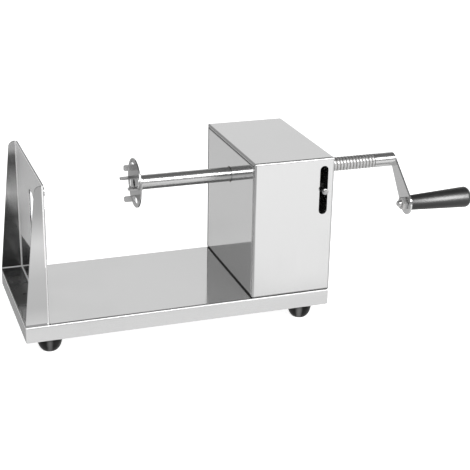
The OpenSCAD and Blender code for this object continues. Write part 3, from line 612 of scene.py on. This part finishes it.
# The boxes of a CAD node's separate solids, which say where each foot, screw or nut is
def solidsOf(nodeName):
    bm = bmesh.new()
    bm.from_mesh(frame["nodes"][nodeName].data)
    bmesh.ops.remove_doubles(bm, verts=bm.verts, dist=mergeWithin["solid"])
    left = set(bm.verts)
    boxes = []
    for first in bm.verts:
        if first not in left:
            continue
        left.discard(first)
        group = [first]
        for vert in group:
            for edge in vert.link_edges:
                other = edge.other_vert(vert)
                if other in left:
                    left.discard(other)
                    group.append(other)
        low = Vector([min(vert.co[i] for vert in group) for i in range(3)])
        high = Vector([max(vert.co[i] for vert in group) for i in range(3)])
        boxes.append((low, high))
    bm.free()
    return boxes


# Spins an outline of (distance along the axis, radius) round an axis. One that starts off the axis
# is closed to a ring
def turned(bm, outline, start, along, steps=48):
    across = along.orthogonal().normalized()
    verts = [bm.verts.new(start + (along * a + across * r) * mm) for a, r in outline]
    pairs = list(zip(verts, verts[1:]))
    if outline[0][1] > 0:
        pairs.append((verts[-1], verts[0]))
    edges = [bm.edges.new(pair) for pair in pairs]
    bmesh.ops.spin(bm, geom=verts + edges, cent=start, axis=along, angle=2 * math.pi, steps=steps,
                   use_merge=True)
    bmesh.ops.remove_doubles(bm, verts=bm.verts, dist=mergeWithin["piece"])


# near is how far off a ring its vertices may be. A nut's round face is faceShare as wide as its flats
hexagon ={"near": 0.01, "faceShare": 0.96, "chamfer": 30}


# Draws the vertices at radius ring out to a hexagon with its flats at radius flat. Where a height is
# given, its chamfered rims are lowered where they stand out most
def shapeHexagon(bm, start, along, ring, flat, height=None, turn=0):
    side = Matrix.Rotation(math.radians(turn), 3, along) @ along.orthogonal().normalized()
    other = along.cross(side)
    near = hexagon["near"]
    slope = math.tan(math.radians(hexagon["chamfer"]))
    for vert in bm.verts:
        offset = (vert.co - start) / mm
        a = offset.dot(along)
        radial = offset - along * a
        if abs(radial.length - ring) > near or (height is not None and not -near < a < height + near):
            continue
        angle = math.atan2(radial.dot(other), radial.dot(side))
        within = (angle + math.pi / 6) % (math.pi / 3) - math.pi / 6
        radius = flat / math.cos(within)
        if height is not None:
            drop = (radius - flat * hexagon["faceShare"]) * slope
            a = drop if a < height / 2 else height - drop
        vert.co = start + (along * a + radial.normalized() * radius) * mm


# flat is a share of the thread's size, and side one of the height
nutShape = {"flat": 0.825, "side": 0.2, "edge": 0.3, "steps": 36}


def hexNut(bm, start, along, size, height, turn):
    flat = size * nutShape["flat"]
    corner = flat / math.cos(math.pi / 6)
    face = flat * hexagon["faceShare"]
    side = height * nutShape["side"]
    bore = size / 2
    edge = nutShape["edge"]
    outline = [(0, bore + edge), (0, face), (side, corner), (height - side, corner), (height, face),
               (height, bore + edge), (height - edge, bore), (edge, bore)]
    turned(bm, outline, start, along, nutShape["steps"])
    shapeHexagon(bm, start, along, corner, flat, height, turn)


# head, rim and socket are shares of the thread's size, socketDepth is a share of head, and the dome
# lists shares of head and rim
button ={"head": 0.55, "rim": 0.875, "socket": 0.32, "socketDepth": 0.62, "lip": 0.06, "lipWider": 1.25,
          "dome": [(0.97, 0.55), (0.82, 0.77), (0.55, 0.93), (0.2, 1.0), (0.0, 0.985)],
          "edge": 0.5, "steps": 36}


# A button head with a hexagon socket, its face towards along, and its shank behind
def buttonScrew(bm, start, along, size, shank):
    head, rim, socket = (size * button[key] for key in ("head", "rim", "socket"))
    bottom = head * (1 - button["socketDepth"])
    edge = button["edge"]
    outline = [(bottom, 0), (bottom, socket), (head - button["lip"], socket),
               (head, socket * button["lipWider"])]
    outline += [(head * up, rim * out) for up, out in button["dome"]]
    outline += [(0, size / 2), (edge - shank, size / 2), (-shank, size / 2 - edge), (-shank, 0)]
    turned(bm, outline, start, along, button["steps"])
    shapeHexagon(bm, start, along, socket, socket)


# Feet. recess is a share of the foot's height, and the bowl is its outline above the tip

foot = {"tip": 6.8, "recess": 0.45, "hole": 4.775, "holeEdge": (0.4, 0.5), "bore": 2.55, "upright": 3.0,
        "edge": 0.5, "steps": 64, "smoothBelow": 40,
        "bowl": [(0.25, 7.6), (0.8, 8.4), (1.6, 9.15), (2.8, 10.1), (4.2, 10.95), (6.0, 11.8),
                 (8.5, 12.6), (11.5, 13.25)]}


def makeFeet():
    bm = bmesh.new()
    hole, bore, edge = foot["hole"], foot["bore"], foot["edge"]
    inwards, wider = foot["holeEdge"]
    for low, high in solidsOf("rubber_feet"):
        start = Vector(((low.x + high.x) / 2, (low.y + high.y) / 2, low.z))
        height = (high.z - low.z) / mm
        top = (high.x - low.x) / 2 / mm
        recess = height * foot["recess"]
        outline = [(inwards, hole), (0, hole + wider), (0, foot["tip"])] + foot["bowl"]
        outline += [(height - foot["upright"], top), (height - edge, top), (height, top - edge),
                    (height, bore), (recess, bore), (recess, hole)]
        turned(bm, outline, start, alongZ, foot["steps"])
    newPiece("moulded_feet", bm, "rubber_feet", foot["smoothBelow"])


# Screws and nuts, each where its solid is. A row is the way it faces, its size, and a nut's turn

screws = {
    "blade_screws": (alongX, 4), "shelf_screws": (alongX, 4), "pivot_screw": (alongX, 6),
    "stand_screws": (-alongZ, 4), "box_screws": (-alongZ, 5), "foot_screws": (-alongZ, 5),
}
nuts = {
    "foot_nuts": (alongZ, 5, 0), "blade_nuts": (alongX, 4, 0), "box_nuts": (alongZ, 5, 0),
    "housing_nuts": (alongX, 4, 0), "pivot_nut": (alongX, 6, 0), "shelf_nuts": (alongX, 4, 0),
    "knob_nut": (alongY, 3, 0), "handle_nut": (alongX, 8, 30),
}


def makeScrews():
    for nodeName, (outward, size) in screws.items():
        bm = bmesh.new()
        head = size * button["head"]
        for low, high in solidsOf(nodeName):
            length = abs((high - low).dot(outward)) / mm
            start = (low + high) / 2 + outward * (length / 2 - head) * mm
            buttonScrew(bm, start, outward, size, length - head)
        newPiece("socket_" + nodeName, bm, nodeName)


def makeNuts():
    for nodeName, (along, size, turn) in nuts.items():
        bm = bmesh.new()
        for low, high in solidsOf(nodeName):
            height = (high - low).dot(along) / mm
            start = (low + high) / 2 - along * height / 2 * mm
            hexNut(bm, start, along, size, height, turn)
        newPiece("chamfered_" + nodeName, bm, nodeName)


# Thread. Its profile over one pitch is (distance, share of the depth), with a narrow root

thread = {"pitch": 4.0, "depth": 0.7, "steps": 48, "turnsBefore": 1.5, "extraTurns": 2, "smoothBelow": 50,
          "profile": [(0, 0.22), (0.18, 0.05), (0.45, 0), (1.75, 0), (2.02, 0.05), (2.2, 0.22),
                      (2.85, 0.9), (3.1, 1), (3.35, 0.9), (4.0, 0.22)],
          "tenon": 3.5, "tenonFrom": 0.1, "tenonEdge": 0.4, "tenonSteps": 40}


def makeThread():
    bm = bmesh.new()
    pitch = thread["pitch"] * mm
    steps = thread["steps"]
    first = tubeHigh.x
    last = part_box("crank_collar")[0].x
    start = Vector((first - thread["turnsBefore"] * pitch, shaftAt.y, shaftAt.z))
    outline = [(a, shaftRadius / mm - thread["depth"] * share) for a, share in thread["profile"]]
    verts = [bm.verts.new(start + (alongX * a + alongZ * r) * mm) for a, r in outline]
    edges = [bm.edges.new(pair) for pair in zip(verts, verts[1:])]
    bmesh.ops.spin(bm, geom=verts + edges, cent=start, axis=alongX, dvec=alongX * (pitch / steps),
                   angle=2 * math.pi, steps=steps)
    oneTurn = bm.verts[:] + bm.edges[:] + bm.faces[:]
    for turn in range(1, math.ceil((last - first) / pitch) + thread["extraTurns"]):
        copied = bmesh.ops.duplicate(bm, geom=oneTurn)["geom"]
        moved = [item for item in copied if isinstance(item, bmesh.types.BMVert)]
        bmesh.ops.translate(bm, verts=moved, vec=alongX * (pitch * turn))
    bmesh.ops.remove_doubles(bm, verts=bm.verts, dist=mergeWithin["thread"])
    for place, away in ((first, -alongX), (last, alongX)):
        cut = bmesh.ops.bisect_plane(bm, geom=bm.verts[:] + bm.edges[:] + bm.faces[:],
                                     plane_co=Vector((place, 0, 0)), plane_no=away,
                                     dist=mergeWithin["piece"], clear_outer=True)
        rim = [item for item in cut["geom_cut"] if isinstance(item, bmesh.types.BMEdge)]
        bmesh.ops.edgeloop_fill(bm, edges=rim)
    tenon, begin, edge = thread["tenon"], thread["tenonFrom"], thread["tenonEdge"]
    reach = (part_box("crank_arm")[1].x - last) / mm
    outline = [(begin, 0), (begin, tenon), (reach - edge, tenon), (reach, tenon - edge), (reach, 0)]
    turned(bm, outline, Vector((last, shaftAt.y, shaftAt.z)), alongX, thread["tenonSteps"])
    newPiece("rolled_thread", bm, "lead_screw", thread["smoothBelow"])


# Grip. Its small end is (distance, what the radius is less than small)

grip = {"small": 8.5, "smallEnd": [(0.0, 1.0), (0.3, 0.3), (1.0, 0.0)], "large": 12.0, "round": 5.5,
        "bore": 4.08, "head": 5.4, "recess": 3.3, "edge": 0.4, "steps": 96, "smoothBelow": 40}


def makeGrip():
    bm = bmesh.new()
    length = (gripHigh.x - gripLow.x) / mm
    large, corner, bore, head, edge = (grip[key] for key in ("large", "round", "bore", "head", "edge"))
    bottom = length - grip["recess"]
    outline = [(0.0, bore + edge)] + [(a, grip["small"] - less) for a, less in grip["smallEnd"]]
    outline.append((length - corner, large))
    outline += [(length - corner * (1 - sine), large - corner * (1 - cosine))
                for sine, cosine in quarterTurn]
    outline += [(length, head + edge), (length - edge, head), (bottom, head), (bottom, bore), (edge, bore)]
    turned(bm, outline, gripAt, alongX, grip["steps"])
    newPiece("moulded_grip", bm, "grip", grip["smoothBelow"])


# Bolt that the grip turns on. headEdge is (distance from the end, what the radius is less than head)

bolt = {"size": 8.0, "head": 5.12, "headLength": 5.0, "headEdge": [(0.7, 0.0), (0.2, 0.3), (0.0, 1.0)],
        "socket": 2.6, "socketEdge": (0.1, 0.15), "socketDepth": 2.4, "smoothBelow": 40}


def makeBolt():
    bm = bmesh.new()
    low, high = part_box("handle_bolt")
    length = (high.x - low.x) / mm
    radius = bolt["size"] / 2
    head, socket = bolt["head"], bolt["socket"]
    shoulder = length - bolt["headLength"]
    bottom = length - bolt["socketDepth"]
    wider, under = bolt["socketEdge"]
    outline = [(0, 0)] + [(radius * (1 - cosine), radius * sine) for sine, cosine in quarterTurn]
    outline += [(shoulder, radius), (shoulder, head)]
    outline += [(length - away, head - less) for away, less in bolt["headEdge"]]
    outline += [(length, socket + wider), (length - under, socket), (bottom, socket), (bottom, 0)]
    start = Vector((low.x, gripAt.y, gripAt.z))
    turned(bm, outline, start, alongX)
    shapeHexagon(bm, start, alongX, socket, socket)
    newPiece("domed_bolt", bm, "handle_bolt", bolt["smoothBelow"])


# Knob in the slot. Its dome is (distance, share of head)

knob = {"head": 3.5, "headLength": 3.5, "dome": [(0.05, 0.35), (0.25, 0.65), (0.65, 0.88), (1.2, 1.0)],
        "headEdge": [(0.5, 0.0), (0.15, 0.15), (0.0, 0.5)], "neck": 2.4, "stem": 1.5, "stemLength": 6.4,
        "edge": 0.3, "smoothBelow": 30}


def makeKnob():
    bm = bmesh.new()
    low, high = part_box("lever_knob")
    length = (high.y - low.y) / mm
    stemFrom = length - knob["stemLength"]
    head, under, neck, stem, edge = (knob[key] for key in ("head", "headLength", "neck", "stem", "edge"))
    outline = [(0, 0)] + [(a, head * share) for a, share in knob["dome"]]
    outline += [(under - away, head - less) for away, less in knob["headEdge"]]
    outline += [(under, neck + edge), (under + edge, neck), (stemFrom, neck), (stemFrom, stem),
                (length - edge, stem), (length, stem - edge), (length, 0)]
    start = Vector(((low.x + high.x) / 2, low.y, (low.z + high.z) / 2))
    turned(bm, outline, start, alongY)
    newPiece("turned_knob", bm, "lever_knob", knob["smoothBelow"])


# Return spring, which is pressed together as the lever's seat comes down

spring = {"coils": 6, "wire": 1.2, "steps": 32, "sides": 12, "smoothBelow": 50}


def makeSpring():
    bm = bmesh.new()
    low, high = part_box("return_spring")
    wireRadius = spring["wire"] / 2 * mm
    coilRadius = (high.y - low.y) / 2 - wireRadius
    start = Vector(((low.x + high.x) / 2, (low.y + high.y) / 2, low.z + wireRadius))
    ring = []
    for side in range(spring["sides"]):
        angle = 2 * math.pi * side / spring["sides"]
        ring.append(bm.verts.new(start + alongX * (coilRadius + wireRadius * math.cos(angle))
                                 + alongZ * wireRadius * math.sin(angle)))
    bm.faces.new(ring)
    steps = spring["coils"] * spring["steps"]
    rise = (high.z - low.z - 2 * wireRadius) / steps
    made = bmesh.ops.spin(bm, geom=ring + ring[0].link_faces[0].edges[:], cent=start, axis=alongZ,
                          dvec=alongZ * rise, angle=2 * math.pi * spring["coils"], steps=steps)
    last = [item for item in made["geom_last"] if isinstance(item, bmesh.types.BMEdge)]
    bmesh.ops.edgeloop_fill(bm, edges=last)
    end = Vector((start.x, start.y, high.z))
    newPiece("coiled_spring", bm, "return_spring", spring["smoothBelow"],
             (bodyOfNode["release_lever"], start, end))


makeFeet()
makeSpring()
makeScrews()
makeNuts()
makeThread()
makeGrip()
makeBolt()
makeKnob()


# Studio. A tuple for between is (level at start, level at end, start, end)

# The angles are in degrees from a level camera that looks along Y
cameraSetup = {"place": (-0.42649, -1.17135, 0.56846), "turn": 19.4989, "down": 21.4287, "roll": 1.0222,
               "lens": 90.4195, "sensor": 36.0, "near": 0.05, "far": 50}


def makeCamera():
    turn, down, roll = (math.radians(cameraSetup[key]) for key in ("turn", "down", "roll"))
    ahead = Vector((math.sin(turn) * math.cos(down), math.cos(turn) * math.cos(down), -math.sin(down)))
    right = ahead.cross(alongZ).normalized()
    up = right.cross(ahead)
    rolledRight = right * math.cos(roll) + up * math.sin(roll)
    rolledUp = up * math.cos(roll) - right * math.sin(roll)
    data = bpy.data.cameras.new("camera")
    data.lens = cameraSetup["lens"]
    data.sensor_width = cameraSetup["sensor"]
    data.clip_start = cameraSetup["near"]
    data.clip_end = cameraSetup["far"]
    camera = bpy.data.objects.new("camera", data)
    scene.collection.objects.link(camera)
    view = Matrix((rolledRight, rolledUp, -ahead)).transposed().to_4x4()
    view.translation = Vector(cameraSetup["place"])
    camera.matrix_world = view
    scene.camera = camera


# onlyOn is the one piece that a lamp lights and is mirrored in, or None for every piece
lampsAim = Vector((0, 0, 0.1))
lamps = {
    "softbox": {"towards": (0.06, -0.75, 0.664), "distance": 1.6, "wide": 1.75, "deep": 0.6,
                "watts": 22.0, "onlyOn": None},
    "strip": {"towards": (0.42, -0.77, 0.35), "distance": 1.7, "wide": 0.75, "deep": 0.9,
              "watts": 60.0, "onlyOn": "moulded_grip"},
}


def makeLamps():
    for name, look in lamps.items():
        data = bpy.data.lights.new(name, "AREA")
        data.shape = "RECTANGLE"
        data.size = look["wide"]
        data.size_y = look["deep"]
        data.energy = look["watts"]
        lamp = bpy.data.objects.new(name, data)
        scene.collection.objects.link(lamp)
        if look["onlyOn"] is not None:
            lit = bpy.data.collections.new(name + "Lit")
            lit.objects.link(bpy.data.objects[look["onlyOn"]])
            lamp.light_linking.receiver_collection = lit
            lamp.visible_diffuse = False
        towards = Vector(look["towards"]).normalized()
        lamp.location = lampsAim + towards * look["distance"]
        lamp.rotation_mode = "QUATERNION"
        lamp.rotation_quaternion = towards.to_track_quat("Z", "Y")


# Whether a ray comes from the camera, and whether it comes off a mirroring surface
def raysOf(wire):
    seen = wire.node("ShaderNodeLightPath", out="Is Camera Ray")
    return seen, seen.pick("Is Glossy Ray")


# What mirrors see by the direction they look in. The camera sees white, and diffuse surfaces see
# an even ambient level
surround = {"behind": (0.30, 0.78, -0.14, 0.08), "toBack": (0, 1, -0.3, 0.3),
            "inFront": (0.07, 0.38, -0.24, -0.1), "ceiling": (0, 1, 0.46, 0.62), "card": (0, 1, 0.62, 0.72),
            "ceilingLevel": 0.165, "ambient": 0.5}


def makeSurround():
    world = bpy.data.worlds.new("studioSurround")
    scene.world = world
    world.use_nodes = True
    world.node_tree.nodes.clear()
    wire = Wire(world.node_tree)
    parts = wire.node("ShaderNodeSeparateXYZ", {}, {0: wire.node("ShaderNodeTexCoord", out="Generated")})
    x, y, z = (parts.pick(name) for name in "XYZ")
    toBack = between(wire, y, *surround["toBack"])
    wall = (toBack * between(wire, x, *surround["behind"])
            + (1 - toBack) * between(wire, x, *surround["inFront"]))
    ceiling = between(wire, z, *surround["ceiling"])
    card = between(wire, x, *surround["card"])
    level = (wall + card) * (1 - ceiling) + ceiling * surround["ceilingLevel"]
    seen, mirrored = raysOf(wire)
    strength = level * mirrored + (1 - mirrored) * surround["ambient"]
    strength = strength * (1 - seen) + seen
    glow = wire.node("ShaderNodeBackground", {}, {"Color": grey(1.0), "Strength": strength})
    wire.node("ShaderNodeOutputWorld", {}, {"Surface": glow})


# The floor as mirrors see it glows with painted light: darker towards the back, with painted shadow under
# the base and beside its left end, and lighter at the right
floorLook = {"half": 6, "paper": 0.8, "lift": 0.8, "mirrorShare": 0.75, "front": 1.08, "backLevel": 0.68,
             "rightLevel": 0.6, "shadowUnder": 0.19, "shadowBeside": 0.62, "toBack": (0, 1, -0.05, 0.25),
             "toRight": (0, 1, 0.45, 0.7), "toLeft": (1, 0, -0.1, 0.08), "underneath": (0, 1, -0.21, -0.12),
             "besideEnd": (1, 0, -0.262, -0.258), "besideFrom": (0, 1, -0.09, -0.05),
             "leftGlowSpan": (-0.6, -0.05)}
# How bright the floor's painted glow is at the left, from far in front to under the base
leftGlowLevels = [(0.0, 0.3), (0.18, 0.34), (0.387, 0.92), (0.58, 0.62), (0.73, 0.58), (0.84, 0.88),
              (1.0, 0.92)]


def makeFloor():
    bm = bmesh.new()
    bmesh.ops.create_grid(bm, x_segments=1, y_segments=1, size=floorLook["half"])
    mesh = bpy.data.meshes.new("floor")
    bm.to_mesh(mesh)
    bm.free()
    floor = bpy.data.objects.new("floor", mesh)
    scene.collection.objects.link(floor)
    finish, wire = newFinish("paleFloor")
    seen, mirrored = raysOf(wire)
    place = axesOf(wire)
    toBack = between(wire, place["Y"], *floorLook["toBack"])
    toRight = between(wire, place["X"], *floorLook["toRight"])
    toLeft = between(wire, place["X"], *floorLook["toLeft"])
    underneath = between(wire, place["Y"], *floorLook["underneath"])
    beside = (between(wire, place["X"], *floorLook["besideEnd"])
              * between(wire, place["Y"], *floorLook["besideFrom"]))
    leftGlow = levelAt(wire, leftGlowLevels, place["Y"], *floorLook["leftGlowSpan"])
    # The glow is darkened under the base and beside the base's left end, a painted shadow
    front = (floorLook["front"] - underneath * floorLook["shadowUnder"]) * (1 - toLeft) + leftGlow * toLeft
    level = front * (1 - toBack) + toBack * floorLook["backLevel"] + toRight * floorLook["rightLevel"]
    level = level * (1 - beside * floorLook["shadowBeside"])
    paper = wire.node("ShaderNodeBsdfDiffuse", {}, {"Color": grey(floorLook["paper"])})
    lift = wire.node("ShaderNodeEmission", {}, {"Color": grey(1.0), "Strength": seen * floorLook["lift"]})
    both = wire.node("ShaderNodeAddShader", {}, {0: paper, 1: lift})
    mirroredGlow = wire.node("ShaderNodeEmission", {}, {"Color": grey(1.0), "Strength": level})
    mixed = wire.node("ShaderNodeMixShader", {},
                      {0: mirrored * floorLook["mirrorShare"], 1: both, 2: mirroredGlow})
    wire.node("ShaderNodeOutputMaterial", {}, {"Surface": mixed})
    mesh.materials.append(finish)


makeCamera()
makeLamps()
makeSurround()
makeFloor()
scene.view_settings.view_transform = "Standard"
print("studio: camera, lamps, surround and floor")
